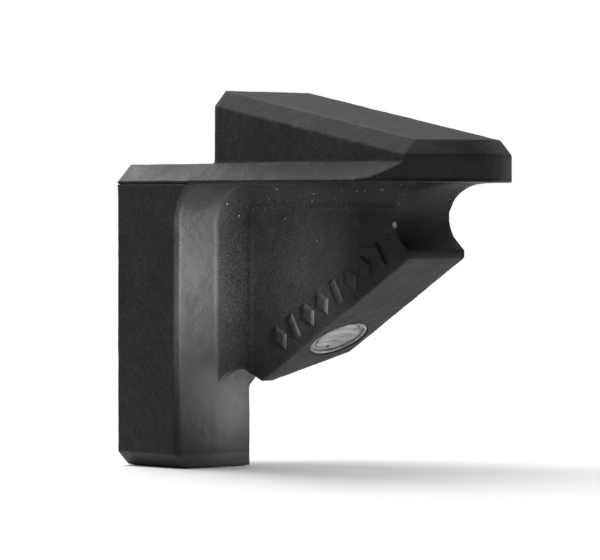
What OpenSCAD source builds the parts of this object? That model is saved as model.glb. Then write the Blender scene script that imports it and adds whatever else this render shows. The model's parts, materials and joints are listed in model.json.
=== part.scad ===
// Weld-on tooth shank for an excavator bucket: a bevelled top plate with a wedge nose,
// a leg, a shank block with a half-round pin seat, and a sprung lock in a round pocket.
// All sizes in millimetres.

/* [Top plate] */
// Width of the plate, and of the round nose
plate_w = 72; // [66:1:78]
// Distance from the left end to the middle of the round nose
nose_x = 133.2; // [128:0.1:138]
// Height of the weld bevel along both long edges
weld_bevel = 6.8; // [5:0.1:8]
// Upright land left under the weld bevel
land = 1.4; // [1:0.1:2.5]

/* [Nose wedge] */
// Distance from the left end to the wedge's upright end face
wedge_x = 49.6; // [44:0.1:54]
// Height of the wedge at that end face
wedge_h = 35.6; // [34:0.1:38]
// Height of the flat top of the nose
nose_h = 15.4; // [14:0.1:17]
// Width of the bevel round the wedge and nose
nose_bevel = 6.1; // [5:0.1:7]
// Height of that bevel on the nose
nose_bevel_h = 6.1; // [5:0.1:7]

/* [Leg] */
// Width of the leg's front face
leg_w = 37.6; // [34:0.1:40]
// Depth of the leg at its toe
leg_d = 38.3; // [37:0.1:40]
// Length of the leg below the top edge
leg_l = 113.8; // [108:0.1:118]
// Weld bevel at the toe
toe_bevel = 5.5; // [4:0.1:7]
// Radius of the inside corner between leg and plate
corner_r = 16; // [13:0.1:18]
// Chamfer along the front edges of the opening
edge_ch = 1.7; // [1.5:0.1:2]
// Height at which the back of the leg starts to slope
slope_top = 50; // [45:0.5:55]
// Height at which that slope reaches the toe's depth
slope_end = 82; // [80:0.5:86]

/* [Shank block] */
// Distance from the front of the plate to the block's front face
block_y = 25; // [24:0.1:26]
// Thickness of the block
block_t = 31.2; // [30:0.1:33]
// Distance from the left end to the lip under the pin seat
lip_x = 139.2; // [138:0.1:141]
// Height of the sloping face where it meets the lip
lip_z = -30.1; // [-31:0.1:-29.5]
// Height of the upright lip
lip_h = 3.3; // [2.5:0.1:3.6]
// Slope of the lower face, in degrees
slope = 31.1; // [30.5:0.1:31.5]
// Radius of the relief groove beside the leg
relief_r = 8.5; // [8:0.1:9]
// Height of the middle of the relief groove
relief_z = -82.8; // [-83.5:0.1:-82]

/* [Pin seat] */
// Radius of the half-round seat, for a pin one inch thick
seat_r = 12.7; // [12.5:0.1:12.9]
// Distance from the left end to the pin's axis
seat_x = 143.9; // [143.5:0.1:144.5]

/* [Fillets] */
// Draft of the leg in front of the fillet, in degrees
draft = 6.5; // [5:0.5:8]
// Depth of each fillet on the plate and on the leg
fillet_d = 4.65; // [4:0.05:5]
// Width of the upright fillets on the block's faces
root_w = 13.6; // [12:0.1:15]
// Width of the level fillets on the block's faces
crown_w = 8.8; // [8:0.1:10]
// Thickness left at each fillet's thin edge
toe_t = 0.25; // [0.15:0.05:0.4]

/* [Lock] */
// Distance from the left end to the lock pocket, along the plate
lock_x = 85.6; // [84:0.1:88]
// Radius of the pocket
pocket_r = 12.1; // [11.5:0.1:12.3]
// Depth of the pocket
pocket_d = 20; // [19:0.1:22]
// Bore radius of the sleeve
bore_r = 10.8; // [10.6:0.05:11]

/* [Hidden] */
$fn = 64;
far = 400;

// The wedge sits inside the weld bevels, and its plan ends in the same round nose as the plate
nose_r = plate_w / 2;
wedge_front = weld_bevel;
plate_end = nose_x + sqrt(pow(nose_r, 2) - pow(nose_r - weld_bevel, 2));
// Flat top of the nose, whose rim starts where the roof's own bevel ends
nose_top_r = norm([plate_end - nose_x, nose_r - wedge_front - nose_bevel]);
// The sloping top comes down to the flat of the nose where the plate ends
wedge_fall = atan((wedge_h - nose_h) / (plate_end - wedge_x));

// Block faces, seat and relief
block_back = block_y + block_t;
fillet_front = block_y - fillet_d;
below_corner = -land - corner_r;
draft_in = fillet_front * tan(draft);
seat_z = -land - seat_r;
seat_exit = 232;
exit_x = seat_x + seat_r * cos(seat_exit);
exit_z = seat_z + seat_r * sin(seat_exit);
relief_bite = 0.3;
relief_x = leg_w + relief_r - relief_bite;
relief_turn = 65;
turn_x = relief_x + (relief_r - relief_bite) * cos(relief_turn);
turn_z = relief_z + (relief_r - relief_bite) * sin(relief_turn);
// The tip is where the relief's straight run-out meets the sloping face
run_a = tan(relief_turn - 90);
run_b = tan(slope);
tip_x = (lip_z - turn_z + run_a * turn_x - run_b * lip_x) / (run_a - run_b);
tip_z = lip_z - (lip_x - tip_x) * run_b;
// Steps across and along the corner fillet
hollow_steps = 9;
corner_steps = 14;
// The front root fillet stops a little above the middle of the relief groove
front_stop = relief_z + 3;
// Lower rear corner of the block, cut back to the leg's toe
cut_y = block_y + 6.6;
cut_plan = 53;
cut_rise = 20;
cut_lean = 35;

// Lock pocket, square to the sloping face and midway through the block
lock_y = block_y + block_t / 2;
lock_z = lip_z - (lip_x - lock_x) * run_b;
clear = 0.06;
sleeve_in = 0.5;
ring_in = 1.3;
ring_t = 1.2;
ring_r = 9.4;
ring_seat = 0.4;
face_in = 1;
head_t = 7.5;
plunger_back = ring_in + ring_t + head_t;
dish_r = 40;
dish_d = 0.6;
dimple_r = 0.8;
cushion_r = 9.6;
cushion_bore = 3;

// The row's origin is on the pin's axis, midway along the seat
module in_frame() {
    translate([-seat_x, -lock_y, -seat_z]) children();
}

// Stands a plan of X and Z upright and gives it depth from y0 to y1
module upright(y0, y1) {
    translate([0, y1, 0]) rotate([90, 0, 0]) linear_extrude(y1 - y0) children();
}

// Places children on the sloping face, with +Z pointing out of the pocket
module at_lock() {
    translate([lock_x, lock_y, lock_z]) rotate([0, 180 - slope, 0]) children();
}

// Plate outline with its full round nose
module nose_plan() {
    translate([nose_x, nose_r]) circle(r = nose_r, $fn = 128);
    square([nose_x, plate_w]);
}

// Long bevels on the front and rear edges of the plate
module weld_bevels() {
    for (side = [0, 1])
        translate([0, side * plate_w, 0]) mirror([0, side, 0])
            rotate([45, 0, 0]) translate([-far / 2, -far / 2, 0]) cube([far, far, far]);
}

module top_plate() {
    color("#3a3a3c") in_frame() difference() {
        translate([0, 0, -land]) linear_extrude(land + weld_bevel)
            intersection() {
                nose_plan();
                square([plate_end, plate_w]);
            }
        weld_bevels();
        for (side = [0, 1])
            translate([0, side * plate_w, -land]) mirror([0, side, 0])
                rotate([-45, 0, 0]) translate([-1, -far / 2, -far + edge_ch / 3])
                    cube([far, far, far]);
    }
}

// Sloping roof of the wedge, with a bevel along both long edges
module wedge_roof() {
    intersection() {
        translate([wedge_x, wedge_front, wedge_h]) rotate([0, wedge_fall, 0])
            rotate([90, 0, 90]) translate([0, 0, -20]) linear_extrude(far)
                polygon([
                    [0, -60], [plate_w - 2 * wedge_front, -60],
                    [plate_w - 2 * wedge_front, -nose_bevel],
                    [plate_w - 2 * wedge_front - nose_bevel, 0],
                    [nose_bevel, 0], [0, -nose_bevel]
                ]);
        translate([wedge_x, 0, weld_bevel]) linear_extrude(wedge_h)
            translate([-wedge_x, 0]) intersection() {
                nose_plan();
                translate([wedge_x, 0]) square([plate_end - wedge_x, plate_w]);
            }
    }
}

module nose_wedge() {
    color("#38383a") in_frame() union() {
        wedge_roof();
        // Upright wall of the nose, below the bevel
        translate([0, 0, -land]) linear_extrude(land + nose_h - nose_bevel_h)
            intersection() {
                nose_plan();
                translate([plate_end, 0]) square([far, plate_w]);
            }
        // Bevelled flat top of the nose
        intersection() {
            translate([nose_x, nose_r, nose_h - nose_bevel_h])
                cylinder(r1 = nose_r, r2 = nose_top_r, h = nose_bevel_h, $fn = 128);
            translate([plate_end, 0, 0]) cube([far, plate_w, nose_h]);
        }
    }
}

// Inside corner between the leg and the plate, hollowed to the corner radius
module corner_web() {
    difference() {
        translate([leg_w, -land - corner_r]) square([corner_r, corner_r]);
        translate([leg_w + corner_r, -land - corner_r]) circle(r = corner_r);
    }
}

module leg_strap() {
    color("#3c3c3e") in_frame() difference() {
        union() {
            // Side view of the leg: bevelled toe in front, sloping step behind
            rotate([90, 0, 90]) linear_extrude(leg_w)
                polygon([
                    [0, -land], [plate_w, -land], [plate_w, -slope_top],
                    [leg_d, -slope_end], [leg_d, -leg_l],
                    [toe_bevel, -leg_l], [0, -leg_l + toe_bevel]
                ]);
            upright(0, block_y) corner_web();
            upright(block_back, plate_w) corner_web();
        }
        // Casting draft on the front of the opening, flat down the leg and conical in the corner
        translate([leg_w, fillet_front, below_corner]) rotate([0, 0, -draft])
            translate([0, -far, -far]) cube([far, far, far]);
        translate([leg_w + corner_r, 0, below_corner]) rotate([-90, 0, 0])
            cylinder(r1 = corner_r + draft_in, r2 = corner_r, h = fillet_front, $fn = 128);
        // Chamfer along the front edge of the opening
        translate([leg_w - draft_in, 0, below_corner]) rotate([0, 0, -45])
            translate([-edge_ch / sqrt(2), -far / 2, -far]) cube([far, far, far]);
        translate([leg_w + corner_r, 0, below_corner]) rotate([-90, 0, 0])
            translate([0, 0, -edge_ch]) cylinder(r1 = corner_r + draft_in + 2 * edge_ch,
                r2 = corner_r + draft_in - 2 * edge_ch, h = 4 * edge_ch, $fn = 128);
    }
}

// Side view of the shank block
module block_side() {
    difference() {
        polygon([
            [leg_w, -land], [seat_x, -land], [seat_x, seat_z], [exit_x, exit_z],
            [lip_x, lip_z + lip_h], [lip_x, lip_z], [tip_x, tip_z],
            [turn_x, turn_z], [relief_x, relief_z], [leg_w, relief_z]
        ]);
        translate([seat_x, seat_z]) circle(r = seat_r, $fn = 96);
        translate([relief_x, relief_z]) circle(r = relief_r);
    }
}

module shank_block() {
    color("#353537") in_frame() difference() {
        upright(block_y, block_back) block_side();
        at_lock() translate([0, 0, -pocket_d]) cylinder(r = pocket_r, h = pocket_d + 20, $fn = 96);
        // Lower rear corner
        translate([tip_x, cut_y, tip_z]) rotate([0, 0, cut_plan]) rotate([0, -cut_rise, 0])
            rotate([cut_lean, 0, 0]) translate([-far / 2, -far / 2, -far]) cube([far, far, far]);
    }
}

// Plan of an upright fillet: leg side along one edge, block face along the other
module root_plan() {
    rise = fillet_d - toe_t;
    turn = 2 * atan(rise / root_w);
    r = root_w / sin(turn);
    difference() {
        square([root_w, fillet_d]);
        translate([root_w, rise - r]) circle(r = r, $fn = 128);
    }
}

// Side view of a level fillet under the plate, depth first and then drop
module crown_plan() {
    rise = fillet_d - toe_t;
    turn = 2 * atan(rise / crown_w);
    r = crown_w / sin(turn);
    difference() {
        translate([0, -crown_w]) square([fillet_d, crown_w]);
        translate([rise - r, -crown_w]) circle(r = r, $fn = 128);
    }
}

// Fillets on the front face, down to a stop; the rear pair is their mirror image
module root_fillet(stop_z) {
    difference() {
        translate([leg_w, fillet_front, stop_z])
            linear_extrude(below_corner - stop_z) root_plan();
        upright(0, plate_w) translate([relief_x, relief_z]) circle(r = relief_r);
    }
}

module crown_fillet() {
    difference() {
        translate([leg_w + corner_r, fillet_front, -land]) rotate([90, 0, 90])
            linear_extrude(seat_x - leg_w - corner_r) crown_plan();
        upright(0, plate_w) translate([seat_x, seat_z]) circle(r = seat_r, $fn = 96);
    }
}

// Hollow face of a fillet of one width: distances out from the wall, with heights off the block
function hollow(w) = let (turn = 2 * atan((fillet_d - toe_t) / w), r = w / sin(turn)) [
    for (i = [0 : hollow_steps]) let (a = turn * (1 - i / hollow_steps))
        [w - r * sin(a), toe_t + r * (1 - cos(a))]
];

// One slice of the corner fillet, turned about the corner's axis
function corner_slice(turn) = let (
    w = root_w + (crown_w - root_w) * turn / 90,
    face = concat(hollow(w), [[w, 0], [0, 0]])
) [
    for (p = face) let (out = corner_r - p[0])
        [leg_w + corner_r - out * cos(turn), block_y - p[1], below_corner + out * sin(turn)]
];

// Fillet round the corner, narrowing from the upright one to the level one
module corner_fillet() {
    count = hollow_steps + 3;
    polyhedron(
        points = [for (k = [0 : corner_steps]) each corner_slice(90 * k / corner_steps)],
        faces = concat(
            [[for (i = [0 : count - 1]) i]],
            [[for (i = [count - 1 : -1 : 0]) corner_steps * count + i]],
            [for (k = [0 : corner_steps - 1]) for (i = [0 : count - 1]) let (j = (i + 1) % count)
                [k * count + j, k * count + i, (k + 1) * count + i, (k + 1) * count + j]]
        )
    );
}

module to_rear() {
    translate([0, 2 * lock_y, 0]) mirror([0, 1, 0]) children();
}

module front_root_fillet() { color("#454548") in_frame() root_fillet(front_stop); }
module rear_root_fillet() { color("#454548") in_frame() to_rear() root_fillet(-slope_top); }
module front_corner_fillet() { color("#454548") in_frame() corner_fillet(); }
module rear_corner_fillet() { color("#454548") in_frame() to_rear() corner_fillet(); }
module front_crown_fillet() { color("#454548") in_frame() crown_fillet(); }
module rear_crown_fillet() { color("#454548") in_frame() to_rear() crown_fillet(); }

module lock_sleeve() {
    color("#8a8a8a") in_frame() at_lock() difference() {
        translate([0, 0, -pocket_d]) cylinder(r = pocket_r, h = pocket_d - sleeve_in, $fn = 96);
        translate([0, 0, -pocket_d + 1.5]) cylinder(r = bore_r, h = pocket_d, $fn = 96);
        translate([0, 0, -ring_in - ring_t]) cylinder(r = bore_r + ring_seat, h = ring_t, $fn = 96);
    }
}

module lock_plunger() {
    color("#9a9a98") in_frame() at_lock() difference() {
        union() {
            translate([0, 0, -plunger_back]) cylinder(r = bore_r - clear, h = head_t, $fn = 96);
            translate([0, 0, -ring_in - ring_t])
                cylinder(r = ring_r - 2 * clear, h = ring_in + ring_t - face_in, $fn = 96);
        }
        translate([0, 0, dish_r - face_in - dish_d]) sphere(r = dish_r, $fn = 96);
        translate([ring_r - 2.6, 0, -face_in - 2]) cylinder(r = dimple_r, h = 4);
    }
}

module lock_ring() {
    color("#a6a6a2") in_frame() at_lock() translate([0, 0, -ring_in - ring_t]) difference() {
        cylinder(r = bore_r + ring_seat, h = ring_t, $fn = 96);
        translate([0, 0, -1]) cylinder(r = ring_r, h = ring_t + 2, $fn = 96);
        // Gap that lets the ring be squeezed into its groove
        translate([-far / 2, -1, -1]) cube([far / 2, 2, ring_t + 2]);
    }
}

module lock_cushion() {
    color("#1c1c1c") in_frame() at_lock() translate([0, 0, -pocket_d + 1.5]) difference() {
        cylinder(r = cushion_r, h = pocket_d - 1.5 - plunger_back, $fn = 96);
        translate([0, 0, -1]) cylinder(r = cushion_bore, h = pocket_d, $fn = 48);
    }
}

top_plate();
nose_wedge();
leg_strap();
shank_block();
front_root_fillet();
rear_root_fillet();
front_corner_fillet();
rear_corner_fillet();
front_crown_fillet();
rear_crown_fillet();
lock_sleeve();
lock_plunger();
lock_ring();
lock_cushion();
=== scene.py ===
import json
import math

import bmesh
import bpy
from mathutils import Matrix, Vector
from mathutils.bvhtree import BVHTree


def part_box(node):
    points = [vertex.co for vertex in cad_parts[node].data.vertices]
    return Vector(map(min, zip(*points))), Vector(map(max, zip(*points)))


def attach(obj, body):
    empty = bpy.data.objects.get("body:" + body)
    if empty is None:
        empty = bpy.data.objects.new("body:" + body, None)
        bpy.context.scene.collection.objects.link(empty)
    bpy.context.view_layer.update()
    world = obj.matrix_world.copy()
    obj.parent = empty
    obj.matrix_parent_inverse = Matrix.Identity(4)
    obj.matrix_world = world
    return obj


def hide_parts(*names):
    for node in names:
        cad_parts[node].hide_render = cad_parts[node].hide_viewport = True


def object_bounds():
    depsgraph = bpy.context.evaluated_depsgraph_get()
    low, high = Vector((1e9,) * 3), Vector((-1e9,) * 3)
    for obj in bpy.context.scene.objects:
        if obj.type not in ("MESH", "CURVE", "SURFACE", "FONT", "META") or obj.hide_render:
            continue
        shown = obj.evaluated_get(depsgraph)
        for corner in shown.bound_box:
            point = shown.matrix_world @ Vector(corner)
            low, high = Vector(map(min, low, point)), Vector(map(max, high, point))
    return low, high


# Weld-on shank of a bucket tooth: rough black castings, weld fillets and a sprung lock, on a pale floor.
# Everything is in metres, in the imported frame: the pin's axis is the origin, +Z up.

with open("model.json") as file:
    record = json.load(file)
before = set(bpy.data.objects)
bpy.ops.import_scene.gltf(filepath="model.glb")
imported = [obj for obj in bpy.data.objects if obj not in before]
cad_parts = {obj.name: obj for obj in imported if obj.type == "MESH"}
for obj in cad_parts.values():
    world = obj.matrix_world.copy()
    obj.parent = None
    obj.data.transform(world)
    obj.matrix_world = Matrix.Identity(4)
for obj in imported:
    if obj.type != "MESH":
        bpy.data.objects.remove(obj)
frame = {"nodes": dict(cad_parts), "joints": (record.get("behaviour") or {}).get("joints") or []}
cadLow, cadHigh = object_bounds()
cadSize = cadHigh - cadLow
middle = (cadLow + cadHigh) / 2
# the lock lies square to the block's sloping face; its sleeve sits a little in from that face
pushAxis = Vector(frame["joints"][0]["axis"]).normalized()
slopeUp = Vector((pushAxis.z, 0.0, -pushAxis.x))
sleeveIn = 0.0005
sleeveLow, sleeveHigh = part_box("lock_sleeve")
sleeveWide = sleeveHigh.y - sleeveLow.y
sleeveLength = (sleeveHigh.z - sleeveLow.z - sleeveWide * slopeUp.z) / pushAxis.z
mouth = (sleeveLow + sleeveHigh) / 2 - pushAxis * (sleeveLength / 2 + sleeveIn)
print("frame loaded, box", [round(v, 4) for v in cadSize])


def newNode(tree, kind, **sockets):
    made = tree.nodes.new(kind)
    for name, value in sockets.items():
        made.inputs[name].default_value = value
    return made


def noiseNode(tree, place, scale, detail=3.0, rough=0.5):
    made = newNode(tree, "ShaderNodeTexNoise", Scale=scale, Detail=detail, Roughness=rough)
    tree.links.new(place, made.inputs["Vector"])
    return made.outputs["Fac"]


def mathNode(tree, job, first, second=0.0):
    made = tree.nodes.new("ShaderNodeMath")
    made.operation = job
    for slot, value in enumerate((first, second)):
        if isinstance(value, (int, float)):
            made.inputs[slot].default_value = value
        else:
            tree.links.new(value, made.inputs[slot])
    return made.outputs[0]


def rangeNode(tree, value, fromLow, fromHigh, toLow, toHigh):
    made = tree.nodes.new("ShaderNodeMapRange")
    tree.links.new(value, made.inputs["Value"])
    ends = {"From Min": fromLow, "From Max": fromHigh, "To Min": toLow, "To Max": toHigh}
    for name, number in ends.items():
        made.inputs[name].default_value = number
    return made.outputs["Result"]


def mixColour(tree, amount, low, high):
    made = tree.nodes.new("ShaderNodeMix")
    made.data_type = "RGBA"
    tree.links.new(amount, made.inputs["Factor"])
    for slot, value in ((6, low), (7, high)):
        if isinstance(value, tuple):
            made.inputs[slot].default_value = value
        else:
            tree.links.new(value, made.inputs[slot])
    return made.outputs[2]


def grey(value, warm=0.0):
    return (value * (1 + warm), value, value * (1 - warm), 1.0)


def startMaterial(name):
    made = bpy.data.materials.new(name)
    made.use_nodes = True
    tree = made.node_tree
    shader = tree.nodes["Principled BSDF"]
    place = tree.nodes.new("ShaderNodeTexCoord").outputs["Object"]
    return made, tree, shader, place


def bumpInto(tree, shader, layers):
    # one bump node per layer, each laid over the one before
    below = None
    for height, depth in layers:
        made = newNode(tree, "ShaderNodeBump", Strength=1.0, Distance=depth)
        tree.links.new(height, made.inputs["Height"])
        if below is not None:
            tree.links.new(below, made.inputs["Normal"])
        below = made.outputs["Normal"]
    tree.links.new(below, shader.inputs["Normal"])


paint = {
    "black": 0.0155,
    "dusty": 0.025,
    "worn": 0.040,
    "speck": 0.30,
    # near-black of the painted shadow line under the weld bevel
    "shadowLine": 0.004,
    "pitShade": 0.006,             # painted shade in the hollows between the sand grains
    # paler colour of the painted floor light on the toe
    "toeLight": 0.042,
    "blotch": 55.0,           # noise scale of the dusty patches
    "grain": 1500.0,          # sand grain of the mould, about 0.7 mm
    "grainDepth": 0.00012,
    "orangePeel": 420.0,
    "peelDepth": 0.00012,
    "ripple": 110.0,          # slow waves of the mould wall
    "rippleDepth": 0.00035,
    "roughLow": 0.40,
    "roughHigh": 0.56,
    "gloss": 0.15,
    "edgeRagged": 0.06,
    "edgeStart": 0.535,       # pointiness at which the paint begins to rub off
    "edgeFull": 0.60,
    "edgeShare": 0.75,
    # share of the painted shade in the grain's hollows
    "pitShadeShare": 0.75,
    "crestShare": 0.4,
    "smoothShare": 0.12,      # of the grain, on faces that look along or up
    "toeLightStart": 0.0065,     # heights over the foot
    "toeLightFull": 0.0059,
    "toeLightRagged": 0.0012,
    "grit": 520.0,
    "gritPatch": 260.0,
    "gritBelow": 0.022,       # reach of the grit below and above the crown fillet's foot
    "gritAbove": 0.004,
    "chip": 0.0020,
    "chipRagged": 0.0022,
    "chipX": -0.0125,         # on the rim of the pin seat
    "chipZ": -0.0028,
    "shadowLineWide": 0.0009,
    "shadowLineUp": 0.0012,        # over the plate's underside
}


def heightOf(tree, place):
    made = tree.nodes.new("ShaderNodeSeparateXYZ")
    tree.links.new(place, made.inputs[0])
    return made.outputs["Z"]


def paintToeLight(tree, place, colour, blotch, foot):
    # painted light: the toe's lowest band painted paler, ragged like a scuff, standing in for light
    # bounced up off the floor
    up = mathNode(tree, "SUBTRACT", heightOf(tree, place), foot)
    ragged = mathNode(tree, "ADD", up, mathNode(tree, "MULTIPLY", blotch, paint["toeLightRagged"]))
    amount = rangeNode(tree, ragged, paint["toeLightFull"], paint["toeLightStart"], 1.0, 0.0)
    return mixColour(tree, amount, colour, grey(paint["toeLight"]))


def scatterGrit(tree, place, colour, level):
    # pale grit caught in the paint, thickest towards the plate
    cells = newNode(tree, "ShaderNodeTexVoronoi", Scale=paint["grit"], Randomness=1.0)
    tree.links.new(place, cells.inputs["Vector"])
    dots = rangeNode(tree, cells.outputs["Distance"], 0.10, 0.16, 1.0, 0.0)
    few = rangeNode(tree, noiseNode(tree, place, paint["gritPatch"], 2.0), 0.56, 0.62, 0.0, 1.0)
    near = rangeNode(tree, heightOf(tree, place),
                     level - paint["gritBelow"], level + paint["gritAbove"], 0.0, 1.0)
    amount = mathNode(tree, "MULTIPLY", mathNode(tree, "MULTIPLY", dots, few), near)
    return mixColour(tree, amount, colour, grey(paint["speck"]))


def chipSeat(tree, place, colour, peel, spot):
    # paint chipped off the rim of the pin seat
    gap = tree.nodes.new("ShaderNodeVectorMath")
    gap.operation = "DISTANCE"
    tree.links.new(place, gap.inputs[0])
    gap.inputs[1].default_value = spot
    ragged = mathNode(tree, "ADD", gap.outputs["Value"],
                      mathNode(tree, "MULTIPLY", peel, paint["chipRagged"]))
    amount = rangeNode(tree, ragged, paint["chip"], paint["chip"] * 1.3, 1.0, 0.0)
    return mixColour(tree, amount, colour, grey(paint["speck"]))


def drawShadowLine(tree, place, colour, level):
    # painted shadow: a thin dark line along the lower edge of the weld bevel, standing in for the shade
    # under that edge
    away = mathNode(tree, "ABSOLUTE", mathNode(tree, "SUBTRACT", heightOf(tree, place), level))
    amount = rangeNode(tree, away, paint["shadowLineWide"] * 0.4, paint["shadowLineWide"], 1.0, 0.0)
    return mixColour(tree, amount, colour, grey(paint["shadowLine"]))


def makePaint(name, gritLevel=None, shadowLineLevel=None, footLevel=None, chipSpot=None):
    made, tree, shader, place = startMaterial(name)
    grain = noiseNode(tree, place, paint["grain"], 4.0, 0.6)
    peel = noiseNode(tree, place, paint["orangePeel"], 3.0, 0.55)
    ripple = noiseNode(tree, place, paint["ripple"], 2.0, 0.5)
    blotch = noiseNode(tree, place, paint["blotch"], 5.0, 0.62)
    colour = mixColour(tree, rangeNode(tree, blotch, 0.38, 0.66, 0.0, 1.0),
                       grey(paint["black"]), grey(paint["dusty"]))
    # paint rubbed thin on the proud edges
    edge = tree.nodes.new("ShaderNodeNewGeometry").outputs["Pointiness"]
    jitter = mathNode(tree, "MULTIPLY", mathNode(tree, "SUBTRACT", peel, 0.5), paint["edgeRagged"])
    wear = rangeNode(tree, mathNode(tree, "ADD", edge, jitter),
                     paint["edgeStart"], paint["edgeFull"], 0.0, paint["edgeShare"])
    colour = mixColour(tree, wear, colour, grey(paint["worn"]))
    # sand grain shows on the faces across the width, the others are smoother; the grain's hollows get
    # painted shade, its tops the worn colour
    facing = tree.nodes.new("ShaderNodeSeparateXYZ")
    tree.links.new(tree.nodes.new("ShaderNodeNewGeometry").outputs["Normal"], facing.inputs[0])
    across = rangeNode(tree, mathNode(tree, "ABSOLUTE", facing.outputs["Y"]),
                       0.60, 0.92, paint["smoothShare"], 1.0)
    for edgeOfGrain, share, tone in ((0.42, "pitShadeShare", "pitShade"), (0.70, "crestShare", "worn")):
        shown = rangeNode(tree, grain, 0.56, edgeOfGrain, 0.0, paint[share])
        colour = mixColour(tree, mathNode(tree, "MULTIPLY", shown, across), colour, grey(paint[tone]))
    # painted floor light on the toe's lowest band
    if footLevel is not None:
        colour = paintToeLight(tree, place, colour, blotch, footLevel)
    if gritLevel is not None:
        colour = scatterGrit(tree, place, colour, gritLevel)
    if chipSpot is not None:
        colour = chipSeat(tree, place, colour, peel, chipSpot)
    # painted shadow line along the weld bevel's lower edge
    if shadowLineLevel is not None:
        colour = drawShadowLine(tree, place, colour, shadowLineLevel)
    tree.links.new(colour, shader.inputs["Base Color"])
    rough = rangeNode(tree, blotch, 0.3, 0.7, paint["roughLow"], paint["roughHigh"])
    tree.links.new(mathNode(tree, "ADD", rough, mathNode(tree, "MULTIPLY", grain, 0.06)),
                   shader.inputs["Roughness"])
    shader.inputs["Specular IOR Level"].default_value = paint["gloss"]
    bumpInto(tree, shader, [(ripple, paint["rippleDepth"]), (peel, paint["peelDepth"]),
                            (grain, paint["grainDepth"])])
    return made


steel = {
    "machined": (0.46, 0.46, 0.45),
    "spring": (0.55, 0.55, 0.53),
    "dull": 0.55,             # streaks, as a share of the bright colour
    "oil": 0.16,
    "oiled": 0.30,            # roughness at its lowest
    "oiledSpread": 0.22,
    "lines": 2600.0,          # turning lines
    "lineDepth": 0.000012,
    "smear": 160.0,
    "smearDepth": 0.00004,
    "streak": 480.0,
}


def makeSteel(name, colourName, along, metal=0.85):
    made, tree, shader, place = startMaterial(name)
    # turning lines and wipe marks are drawn out along one direction
    turn = tree.nodes.new("ShaderNodeMapping")
    turn.inputs["Rotation"].default_value = along
    turn.inputs["Scale"].default_value = (1.0, 0.09, 0.09)
    tree.links.new(place, turn.inputs["Vector"])
    lines = noiseNode(tree, turn.outputs[0], steel["lines"], 2.0, 0.6)
    smear = noiseNode(tree, place, steel["smear"], 4.0, 0.6)
    streak = noiseNode(tree, turn.outputs[0], steel["streak"], 3.0, 0.5)
    bright = steel[colourName] + (1.0,)
    dull = tuple(v * steel["dull"] for v in steel[colourName]) + (1.0,)
    colour = mixColour(tree, rangeNode(tree, streak, 0.36, 0.66, 0.0, 1.0), dull, bright)
    oil = rangeNode(tree, smear, 0.52, 0.70, 0.0, 0.6)
    colour = mixColour(tree, oil, colour, grey(steel["oil"], 0.04))
    tree.links.new(colour, shader.inputs["Base Color"])
    rough = rangeNode(tree, smear, 0.3, 0.7, steel["oiled"], steel["oiled"] + steel["oiledSpread"])
    tree.links.new(rough, shader.inputs["Roughness"])
    shader.inputs["Metallic"].default_value = metal
    bumpInto(tree, shader, [(lines, steel["lineDepth"]), (smear, steel["smearDepth"])])
    return made


rubber = {
    "black": 0.014,
    "bloom": 0.030,           # pale bloom of old rubber
    "bloomSize": 260.0,
    "bloomDepth": 0.00008,
    "skin": 2200.0,
    "skinDepth": 0.00003,
}


def makeRubber(name):
    made, tree, shader, place = startMaterial(name)
    bloom = noiseNode(tree, place, rubber["bloomSize"], 4.0, 0.6)
    skin = noiseNode(tree, place, rubber["skin"], 3.0, 0.6)
    colour = mixColour(tree, rangeNode(tree, bloom, 0.4, 0.7, 0.0, 1.0),
                       grey(rubber["black"]), grey(rubber["bloom"]))
    tree.links.new(colour, shader.inputs["Base Color"])
    tree.links.new(rangeNode(tree, bloom, 0.3, 0.7, 0.62, 0.80), shader.inputs["Roughness"])
    bumpInto(tree, shader, [(skin, rubber["skinDepth"]), (bloom, rubber["bloomDepth"])])
    return made


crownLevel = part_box("front_crown_fillet")[0].z
chipSpot = (paint["chipX"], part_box("shank_block")[0].y, paint["chipZ"])
# the leg carries the painted floor light on its toe
castPaint = makePaint("castPaint", footLevel=cadLow.z)
blockPaint = makePaint("blockPaint", gritLevel=crownLevel, chipSpot=chipSpot)
# the plate carries the painted shadow line under its weld bevel
platePaint = makePaint("platePaint", shadowLineLevel=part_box("top_plate")[0].z + paint["shadowLineUp"])
weldPaint = makePaint("weldPaint", gritLevel=crownLevel)
lockSteel = makeSteel("lockSteel", "machined", (0.0, 0.0, 0.5))
springSteel = makeSteel("springSteel", "spring", (0.0, 0.0, 0.0), 1.0)
lockRubber = makeRubber("lockRubber")
print("finishes made")


casting = {
    "cell": 0.0005,        # grid that the skin is rebuilt on
    "quickCell": 0.0009,
    "passes": 12,          # smoothing that rounds the free edges
    "seamKept": 0.0003,    # skin this near another piece stays put
    "seamFade": 0.0016,
    "waveDepth": 0.00030,
    "waveSize": 0.014,
    "pitDepth": 0.00012,
    "pitSize": 0.0035,
    "kept": 0.30,          # share of the faces kept in the end
}


def settle(piece):
    # bakes the modifiers into the mesh
    graph = bpy.context.evaluated_depsgraph_get()
    made = bpy.data.meshes.new_from_object(piece.evaluated_get(graph))
    old = piece.data
    piece.modifiers.clear()
    piece.data = made
    bpy.data.meshes.remove(old)


def dress(piece, finish, body):
    piece.data.materials.clear()
    piece.data.materials.append(finish)
    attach(piece, body)


def newPiece(name, work):
    mesh = bpy.data.meshes.new(name)
    work.to_mesh(mesh)
    work.free()
    piece = bpy.data.objects.new(name, mesh)
    bpy.context.collection.objects.link(piece)
    return piece


def sharpen(work, degrees):
    # edges that turn more than this stay crisp
    limit = math.radians(degrees)
    for edge in work.edges:
        edge.smooth = not (len(edge.link_faces) == 2 and edge.calc_face_angle() > limit)


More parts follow.
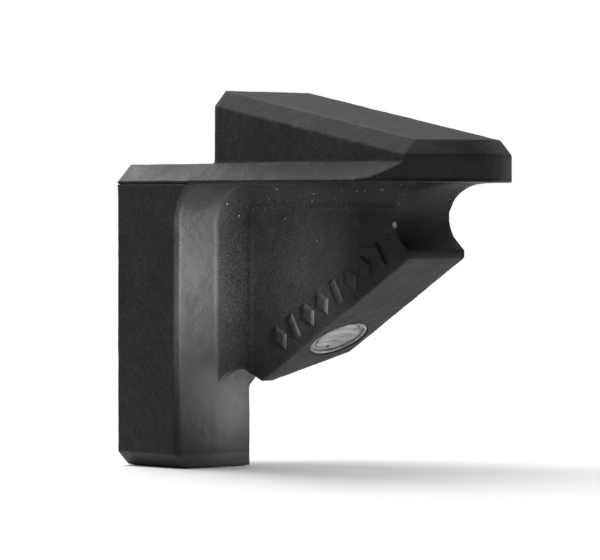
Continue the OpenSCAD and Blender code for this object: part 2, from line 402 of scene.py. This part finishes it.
def weldedCopy(nodes, name):
    work = bmesh.new()
    for node in nodes:
        work.from_mesh(frame["nodes"][node].data)
    bmesh.ops.remove_doubles(work, verts=work.verts, dist=1e-6)
    return newPiece(name, work)


def neighbourTree(own):
    points, faces = [], []
    for node, cad in frame["nodes"].items():
        if node in own:
            continue
        start = len(points)
        points += [v.co.copy() for v in cad.data.vertices]
        faces += [[start + i for i in f.vertices] for f in cad.data.polygons]
    return BVHTree.FromPolygons(points, faces)


def freeSkin(piece, tree):
    # weight 0 against another piece, 1 where the skin is free
    group = piece.vertex_groups.new(name="free")
    reach = casting["seamKept"] + casting["seamFade"]
    for v in piece.data.vertices:
        near, _, _, gap = tree.find_nearest(v.co, reach)
        weight = 1.0 if near is None else max(0.0, (gap - casting["seamKept"]) / casting["seamFade"])
        group.add([v.index], weight, "REPLACE")


def wobble(piece, name, size, depth):
    # sinks the skin by up to depth, never out of the casting's own box
    pattern = bpy.data.textures.new(name, "CLOUDS")
    pattern.noise_scale = size
    pattern.noise_depth = 2
    made = piece.modifiers.new(name, "DISPLACE")
    made.texture = pattern
    made.texture_coords = "LOCAL"
    made.mid_level = 1.0
    made.strength = depth
    made.vertex_group = "free"


def makeCasting(name, nodes, finish):
    piece = weldedCopy(nodes, name)
    skin = piece.modifiers.new("skin", "REMESH")
    skin.mode = "VOXEL"
    skin.voxel_size = casting["cell"]
    skin.use_smooth_shade = True
    settle(piece)
    freeSkin(piece, neighbourTree(nodes))
    soften = piece.modifiers.new("soften", "SMOOTH")
    soften.factor = 0.5
    soften.iterations = casting["passes"]
    soften.vertex_group = "free"
    wobble(piece, name + "Waves", casting["waveSize"], casting["waveDepth"])
    wobble(piece, name + "Pits", casting["pitSize"], casting["pitDepth"])
    fewer = piece.modifiers.new("fewer", "DECIMATE")
    fewer.ratio = casting["kept"]
    settle(piece)
    even = piece.modifiers.new("even", "WEIGHTED_NORMAL")
    even.weight = 60
    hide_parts(*nodes)
    dress(piece, finish, "shank")
    print(name, "cast with", len(piece.data.polygons), "faces")


makeCasting("plate_casting", ["top_plate", "nose_wedge"], platePaint)
makeCasting("leg_casting", ["leg_strap"], castPaint)
makeCasting("block_casting", ["shank_block"], blockPaint)


fillet = {
    "rise": 0.00465,         # off the block, at the leg and at the plate
    "toe": -0.00005,         # just under the block's skin, so no step shows
    "sunk": 0.0002,          # the back of the section, inside the block
    "across": 14,
    "cornerSteps": 18,
    "straightSteps": 40,
    "reliefRadius": 0.0085,
    "reliefBite": 0.0003,
    "stopOverRelief": 0.003,
    "seatRadius": 0.0127,
    "crisp": 50,             # degrees
}


def hollowFace(width):
    # (distance from the wall, height off the block) from the wall's end to the thin toe
    turn = 2 * math.atan((fillet["rise"] - fillet["toe"]) / width)
    radius = width / math.sin(turn)
    found = []
    for i in range(fillet["across"] + 1):
        angle = turn * (1 - i / fillet["across"])
        found.append((width - radius * math.sin(angle), fillet["toe"] + radius * (1 - math.cos(angle))))
    return found


def filletRun(side):
    # one run of fillet, from the leg's foot to the pin seat
    rootLow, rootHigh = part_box(side + "_root_fillet")
    crownLow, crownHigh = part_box(side + "_crown_fillet")
    legSide, cornerRadius = rootLow.x, crownLow.x - rootLow.x
    rootWidth, crownWidth = rootHigh.x - rootLow.x, crownHigh.z - crownLow.z
    blockFace, out = (rootHigh.y, -1) if side == "front" else (rootLow.y, 1)
    cornerLevel = rootHigh.z
    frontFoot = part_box("front_root_fillet")[0].z
    reliefX = legSide + fillet["reliefRadius"] - fillet["reliefBite"]
    reliefZ = frontFoot - fillet["stopOverRelief"]

    def footOf(x):
        away = abs(x - reliefX)
        if side == "rear" or away >= fillet["reliefRadius"]:
            return rootLow.z
        return max(rootLow.z, reliefZ + math.sqrt(fillet["reliefRadius"] ** 2 - away ** 2))

    def endOf(z):
        # the crown stops at the pin seat, whose axis is the origin
        return -math.sqrt(max(0.0, fillet["seatRadius"] ** 2 - z ** 2))

    # up beside the leg
    slices = []
    for k in range(fillet["straightSteps"]):
        share = k / fillet["straightSteps"]
        slices.append([Vector((legSide + d, blockFace + out * h,
                               footOf(legSide + d) * (1 - share) + cornerLevel * share))
                       for d, h in hollowFace(rootWidth)])
    # round the corner, while it narrows
    for k in range(fillet["cornerSteps"]):
        share = k / fillet["cornerSteps"]
        angle = share * math.pi / 2
        smooth = share * share * (3 - 2 * share)
        width = rootWidth * (1 - smooth) + crownWidth * smooth
        slices.append([Vector((legSide + cornerRadius - (cornerRadius - d) * math.cos(angle),
                               blockFace + out * h,
                               cornerLevel + (cornerRadius - d) * math.sin(angle)))
                       for d, h in hollowFace(width)])
    # along under the plate
    for k in range(fillet["straightSteps"] + 1):
        share = k / fillet["straightSteps"]
        slices.append([Vector((crownLow.x * (1 - share) + endOf(crownHigh.z - d) * share,
                               blockFace + out * h, crownHigh.z - d))
                       for d, h in hollowFace(crownWidth)])
    work = bmesh.new()
    rows = []
    for points in slices:
        # the back of the section ends where the front ends
        back = blockFace - out * fillet["sunk"]
        rows.append([work.verts.new(p) for p in points]
                    + [work.verts.new((p.x, back, p.z)) for p in reversed(points)])
    size = len(rows[0])
    for here, after in zip(rows, rows[1:]):
        for i in range(size):
            j = (i + 1) % size
            work.faces.new((here[i], here[j], after[j], after[i]))
    for end in (rows[0], rows[-1]):
        for i in range(fillet["across"]):
            work.faces.new((end[i], end[i + 1], end[-2 - i], end[-1 - i]))
    bmesh.ops.recalc_face_normals(work, faces=work.faces)
    sharpen(work, fillet["crisp"])
    piece = newPiece(side + "_fillet_run", work)
    piece.data.shade_smooth()
    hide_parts(side + "_root_fillet", side + "_corner_fillet", side + "_crown_fillet")
    dress(piece, weldPaint, "shank")


filletRun("front")
filletRun("rear")
print("fillets run")


marks = {
    "count": 8,
    "pitch": 0.0091,
    "height": 0.0106,
    "width": 0.0070,
    "barWidth": 0.0026,
    "proud": 0.0010,
    "sunk": 0.0003,
    "foot": 0.0001,        # upright part of the sides
    "taper": 0.72,
    "soft": 0.00025,
    "along": 0.0180,       # middle of the row, up the slope from the lock
    "offEdge": 0.0092,     # in from the sloping edge
}


def makeMarks():
    # plain raised lozenges and bars in a row along the block's sloping edge
    middleOfRow = Vector((mouth.x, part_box("shank_block")[0].y, mouth.z))
    middleOfRow += slopeUp * marks["along"] + pushAxis * marks["offEdge"]
    work = bmesh.new()
    for k in range(marks["count"]):
        centre = middleOfRow + slopeUp * marks["pitch"] * (k - (marks["count"] - 1) / 2)
        high = marks["height"] / 2
        if k % 3 == 1:
            wide = marks["barWidth"] / 2
            plan = [(-wide, -high), (wide, -high), (wide, high), (-wide, high)]
        else:
            wide = marks["width"] / 2
            plan = [(-wide, 0), (0, -high), (wide, 0), (0, high)]
        rings = []
        for grow, rise in ((1.0, -marks["sunk"]), (1.0, marks["foot"]), (marks["taper"], marks["proud"])):
            rings.append([work.verts.new(centre + slopeUp * (a * grow) + pushAxis * (b * grow)
                                         - Vector((0.0, rise, 0.0))) for a, b in plan])
        for here, after in zip(rings, rings[1:]):
            for i in range(4):
                j = (i + 1) % 4
                work.faces.new((here[i], here[j], after[j], after[i]))
        work.faces.new(rings[0])
        work.faces.new(list(reversed(rings[-1])))
    bmesh.ops.recalc_face_normals(work, faces=work.faces)
    piece = newPiece("foundry_marks", work)
    soft = piece.modifiers.new("soft", "BEVEL")
    soft.width = marks["soft"]
    soft.segments = 3
    settle(piece)
    piece.data.shade_smooth()
    dress(piece, blockPaint, "shank")


makeMarks()
print("marks raised")


lock = {
    "steps": 128,
    "crisp": 25,             # degrees
    "chamfer": 0.00035,
    "sleeveRadius": 0.0121,
    "sleeveFloor": 0.0015,
    "boreRadius": 0.0108,
    "grooveDepth": 0.0004,
    "grooveTop": 0.0013,     # depths count from the mouth of the pocket
    "ringThickness": 0.0012,
    "ringBore": 0.0094,
    "ringGap": 0.0020,
    "clear": 0.00006,
    "faceDepth": 0.0010,
    "headLength": 0.0075,
    "dishRadius": 0.040,     # the plunger's face is a little dished
    "dishDepth": 0.0006,
    "dishSteps": 10,
    "dimpleRadius": 0.0008,
    "dimpleDepth": 0.0010,
    "dimpleAway": 0.0068,
    "cushionRadius": 0.0096,
    "cushionBore": 0.0030,
    "cushionBulge": 0.0003,
    "cushionSteps": 12,
}
# levels that more than one of the lock's pieces share
ringTop = lock["grooveTop"]
ringBottom = ringTop + lock["ringThickness"]
headBack = ringBottom + lock["headLength"]
sleeveBottom = sleeveIn + sleeveLength
pocketFloor = sleeveBottom - lock["sleeveFloor"]


def lathe(name, outline, sweep=math.tau):
    # outline: (distance from the lock's axis, depth in from the mouth) pairs round a closed section
    across = Vector((0.0, 1.0, 0.0))
    whole = sweep == math.tau
    rows = []
    work = bmesh.new()
    for turn in range(lock["steps"] + (0 if whole else 1)):
        angle = (math.tau - sweep) / 2 + sweep * turn / lock["steps"]
        spoke = slopeUp * math.cos(angle) + across * math.sin(angle)
        rows.append([work.verts.new(mouth + spoke * r + pushAxis * depth) for r, depth in outline])
    size = len(outline)
    for here, after in zip(rows, rows[1:] + (rows[:1] if whole else [])):
        for i in range(size):
            j = (i + 1) % size
            work.faces.new((here[i], here[j], after[j], after[i]))
    if not whole:
        work.faces.new(rows[0])
        work.faces.new(list(reversed(rows[-1])))
    bmesh.ops.remove_doubles(work, verts=work.verts, dist=1e-7)
    bmesh.ops.recalc_face_normals(work, faces=work.faces)
    sharpen(work, lock["crisp"])
    piece = newPiece(name, work)
    piece.data.shade_smooth()
    return piece


def makeSleeve():
    c, radius, bore = lock["chamfer"], lock["sleeveRadius"], lock["boreRadius"]
    wide = bore + lock["grooveDepth"]
    piece = lathe("lock_sleeve_turned", [
        (0.0, sleeveBottom), (radius - c, sleeveBottom), (radius, sleeveBottom - c),
        (radius, sleeveIn + c), (radius - c, sleeveIn), (bore + c, sleeveIn), (bore, sleeveIn + c),
        (bore, ringTop), (wide, ringTop), (wide, ringBottom), (bore, ringBottom),
        (bore, pocketFloor), (0.0, pocketFloor)])
    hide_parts("lock_sleeve")
    dress(piece, lockSteel, "shank")


def makePlunger():
    c, face = lock["chamfer"], lock["faceDepth"]
    headRadius = lock["boreRadius"] - lock["clear"]
    stemRadius = lock["ringBore"] - 2 * lock["clear"]
    dish, deep, steps = lock["dishRadius"], lock["dishDepth"], lock["dishSteps"]
    rim = math.sqrt(dish ** 2 - (dish - deep) ** 2)
    hollow = [(rim * k / steps, face + math.sqrt(dish ** 2 - (rim * k / steps) ** 2) - dish + deep)
              for k in range(steps + 1)]
    piece = lathe("lock_plunger_turned", hollow + [
        (stemRadius - c, face), (stemRadius, face + c), (stemRadius, ringBottom),
        (headRadius - c, ringBottom), (headRadius, ringBottom + c), (headRadius, headBack - c),
        (headRadius - c, headBack), (0.0, headBack)])
    # drilled dimple that marks the ring's gap
    drill = bmesh.new()
    tilt = pushAxis.to_track_quat("Z", "Y").to_matrix().to_4x4()
    spot = mouth - slopeUp * lock["dimpleAway"] + pushAxis * face
    bmesh.ops.create_cone(drill, cap_ends=True, segments=32, radius1=lock["dimpleRadius"],
                          radius2=lock["dimpleRadius"], depth=2 * lock["dimpleDepth"],
                          matrix=Matrix.Translation(spot) @ tilt)
    cutter = newPiece("drill", drill)
    cut = piece.modifiers.new("drill", "BOOLEAN")
    cut.object = cutter
    cut.operation = "DIFFERENCE"
    settle(piece)
    bpy.data.objects.remove(cutter)
    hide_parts("lock_plunger")
    dress(piece, lockSteel, "plunger")


def makeRing():
    c, inner = lock["chamfer"] * 0.6, lock["ringBore"]
    outer = lock["boreRadius"] + lock["grooveDepth"]
    piece = lathe("lock_ring_sprung", [
        (inner + c, ringTop), (outer - c, ringTop), (outer, ringTop + c), (outer, ringBottom - c),
        (outer - c, ringBottom), (inner + c, ringBottom), (inner, ringBottom - c),
        (inner, ringTop + c)], math.tau - lock["ringGap"] / outer)
    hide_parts("lock_ring")
    dress(piece, springSteel, "shank")


def makeCushion():
    # moulded rubber, a little barrelled between the sleeve's floor and the plunger
    radius, bore, bulge = lock["cushionRadius"], lock["cushionBore"], lock["cushionBulge"]
    steps = lock["cushionSteps"]
    side = [(radius - bulge + bulge * math.sin(math.pi * k / steps),
             headBack + (pocketFloor - headBack) * k / steps) for k in range(steps + 1)]
    piece = lathe("lock_cushion_moulded", side + [(bore, pocketFloor), (bore, headBack)])
    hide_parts("lock_cushion")
    dress(piece, lockRubber, "shank")


makeSleeve()
makePlunger()
makeRing()
makeCushion()
print("lock turned")


studio = {
    "floorSize": 12.0,
    "floorGrey": 0.92,
    "floorFibre": 0.01,
    "skyToCamera": 1.0,
    "skyToObject": 0.05,
    "sunStrength": 3.75,
    "sunSpread": 90,      # degrees, an even overcast
    "sunLean": 24,        # degrees, from the left
    "bevelPower": 0.22,
    "legPower": 0.060,
    "lowPower": 0.0072,
    "rearPower": 1.0,
}


def makeFloor():
    made, tree, shader, place = startMaterial("floorPaper")
    fibre = noiseNode(tree, place, 40.0, 4.0, 0.5)
    colour = mixColour(tree, fibre, grey(studio["floorGrey"] - studio["floorFibre"]),
                       grey(studio["floorGrey"] + studio["floorFibre"]))
    tree.links.new(colour, shader.inputs["Base Color"])
    shader.inputs["Roughness"].default_value = 0.9
    shader.inputs["Specular IOR Level"].default_value = 0.1
    work = bmesh.new()
    bmesh.ops.create_circle(work, cap_ends=True, segments=128, radius=studio["floorSize"],
                            matrix=Matrix.Translation((middle.x, middle.y, cadLow.z)))
    floor = newPiece("floor", work)
    floor.data.materials.append(made)


def makeSky():
    world = bpy.data.worlds.new("studioAir")
    bpy.context.scene.world = world
    world.use_nodes = True
    tree = world.node_tree
    tree.nodes.clear()
    seen = tree.nodes.new("ShaderNodeLightPath").outputs["Is Camera Ray"]
    bright = newNode(tree, "ShaderNodeBackground", Strength=studio["skyToCamera"])
    dim = newNode(tree, "ShaderNodeBackground", Strength=studio["skyToObject"])
    for air in (bright, dim):
        air.inputs["Color"].default_value = grey(1.0)
    choose = tree.nodes.new("ShaderNodeMixShader")
    tree.links.new(seen, choose.inputs[0])
    tree.links.new(dim.outputs[0], choose.inputs[1])
    tree.links.new(bright.outputs[0], choose.inputs[2])
    out = tree.nodes.new("ShaderNodeOutputWorld")
    tree.links.new(choose.outputs[0], out.inputs[0])


def addSun():
    data = bpy.data.lights.new("overcast", "SUN")
    data.energy = studio["sunStrength"]
    data.angle = math.radians(studio["sunSpread"])
    sun = bpy.data.objects.new("overcast", data)
    sun.rotation_euler = (0.0, -math.radians(studio["sunLean"]), 0.0)
    bpy.context.collection.objects.link(sun)


def addPanel(name, place, aim, width, height, power, spread=180.0):
    data = bpy.data.lights.new(name, "AREA")
    data.shape = "RECTANGLE"
    data.size, data.size_y = width, height
    data.energy = power
    data.spread = math.radians(spread)
    panel = bpy.data.objects.new(name, data)
    panel.location = place
    panel.rotation_euler = (Vector(aim) - Vector(place)).to_track_quat("-Z", "Y").to_euler()
    panel.visible_camera = False
    bpy.context.collection.objects.link(panel)


camera = {
    "azimuth": 46.0,       # 0 looks along +Y
    "distance": 1.538,
    "aside": -0.0113,      # aim, to the side of the middle
    "above": 0.0293,       # lens height over the middle
    "tilt": 1.085,
    "lens": 236.1,
}


def makeCamera():
    turn = math.radians(camera["azimuth"])
    ahead = Vector((-math.sin(turn), math.cos(turn), 0.0))
    side = Vector((math.cos(turn), math.sin(turn), 0.0))
    data = bpy.data.cameras.new("camera")
    data.lens = camera["lens"]
    data.sensor_width = 36.0
    data.clip_start, data.clip_end = 0.05, 60.0
    eye = bpy.data.objects.new("camera", data)
    eye.location = (middle - ahead * camera["distance"] + side * camera["aside"]
                    + Vector((0, 0, camera["above"])))
    down = math.tan(math.radians(camera["tilt"]))
    eye.rotation_euler = (ahead - Vector((0, 0, down))).to_track_quat("-Z", "Y").to_euler()
    bpy.context.collection.objects.link(eye)
    bpy.context.scene.camera = eye


def makeLights():
    # panels stand round the part's own box
    low, high = cadLow, cadHigh
    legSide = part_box("front_root_fillet")[0].x
    # close on the upper left: brightest on the left end of the weld bevel, fading towards the nose
    addPanel("bevelPanel", (low.x - 0.15, low.y - 0.01, high.z + 0.08),
             (low.x + 0.01, low.y, high.z - 0.06), 0.09, 0.09, studio["bevelPower"])
    # under the plate in front of the block: the leg's side, brightest high up, and the fillets
    addPanel("legPanel", (legSide + 0.095, low.y + 0.008, middle.z + 0.006),
             (legSide, low.y + 0.010, middle.z + 0.002), 0.012, 0.05, studio["legPower"], 60.0)
    # low behind on the right: the back of the leg's side, the relief and the sloping face
    addPanel("lowPanel", (legSide + 0.055, middle.y + 0.03, low.z + 0.022),
             (legSide, middle.y - 0.004, low.z + 0.026), 0.02, 0.03, studio["lowPower"], 44.0)
    # weak fill behind, so that the rear reads
    addPanel("rearPanel", (low.x + 0.1, high.y + 0.9, high.z + 0.4), tuple(middle),
             0.8, 0.6, studio["rearPower"])


makeFloor()
makeSky()
addSun()
makeLights()
makeCamera()
bpy.context.scene.view_settings.view_transform = "Standard"
print("stage set")
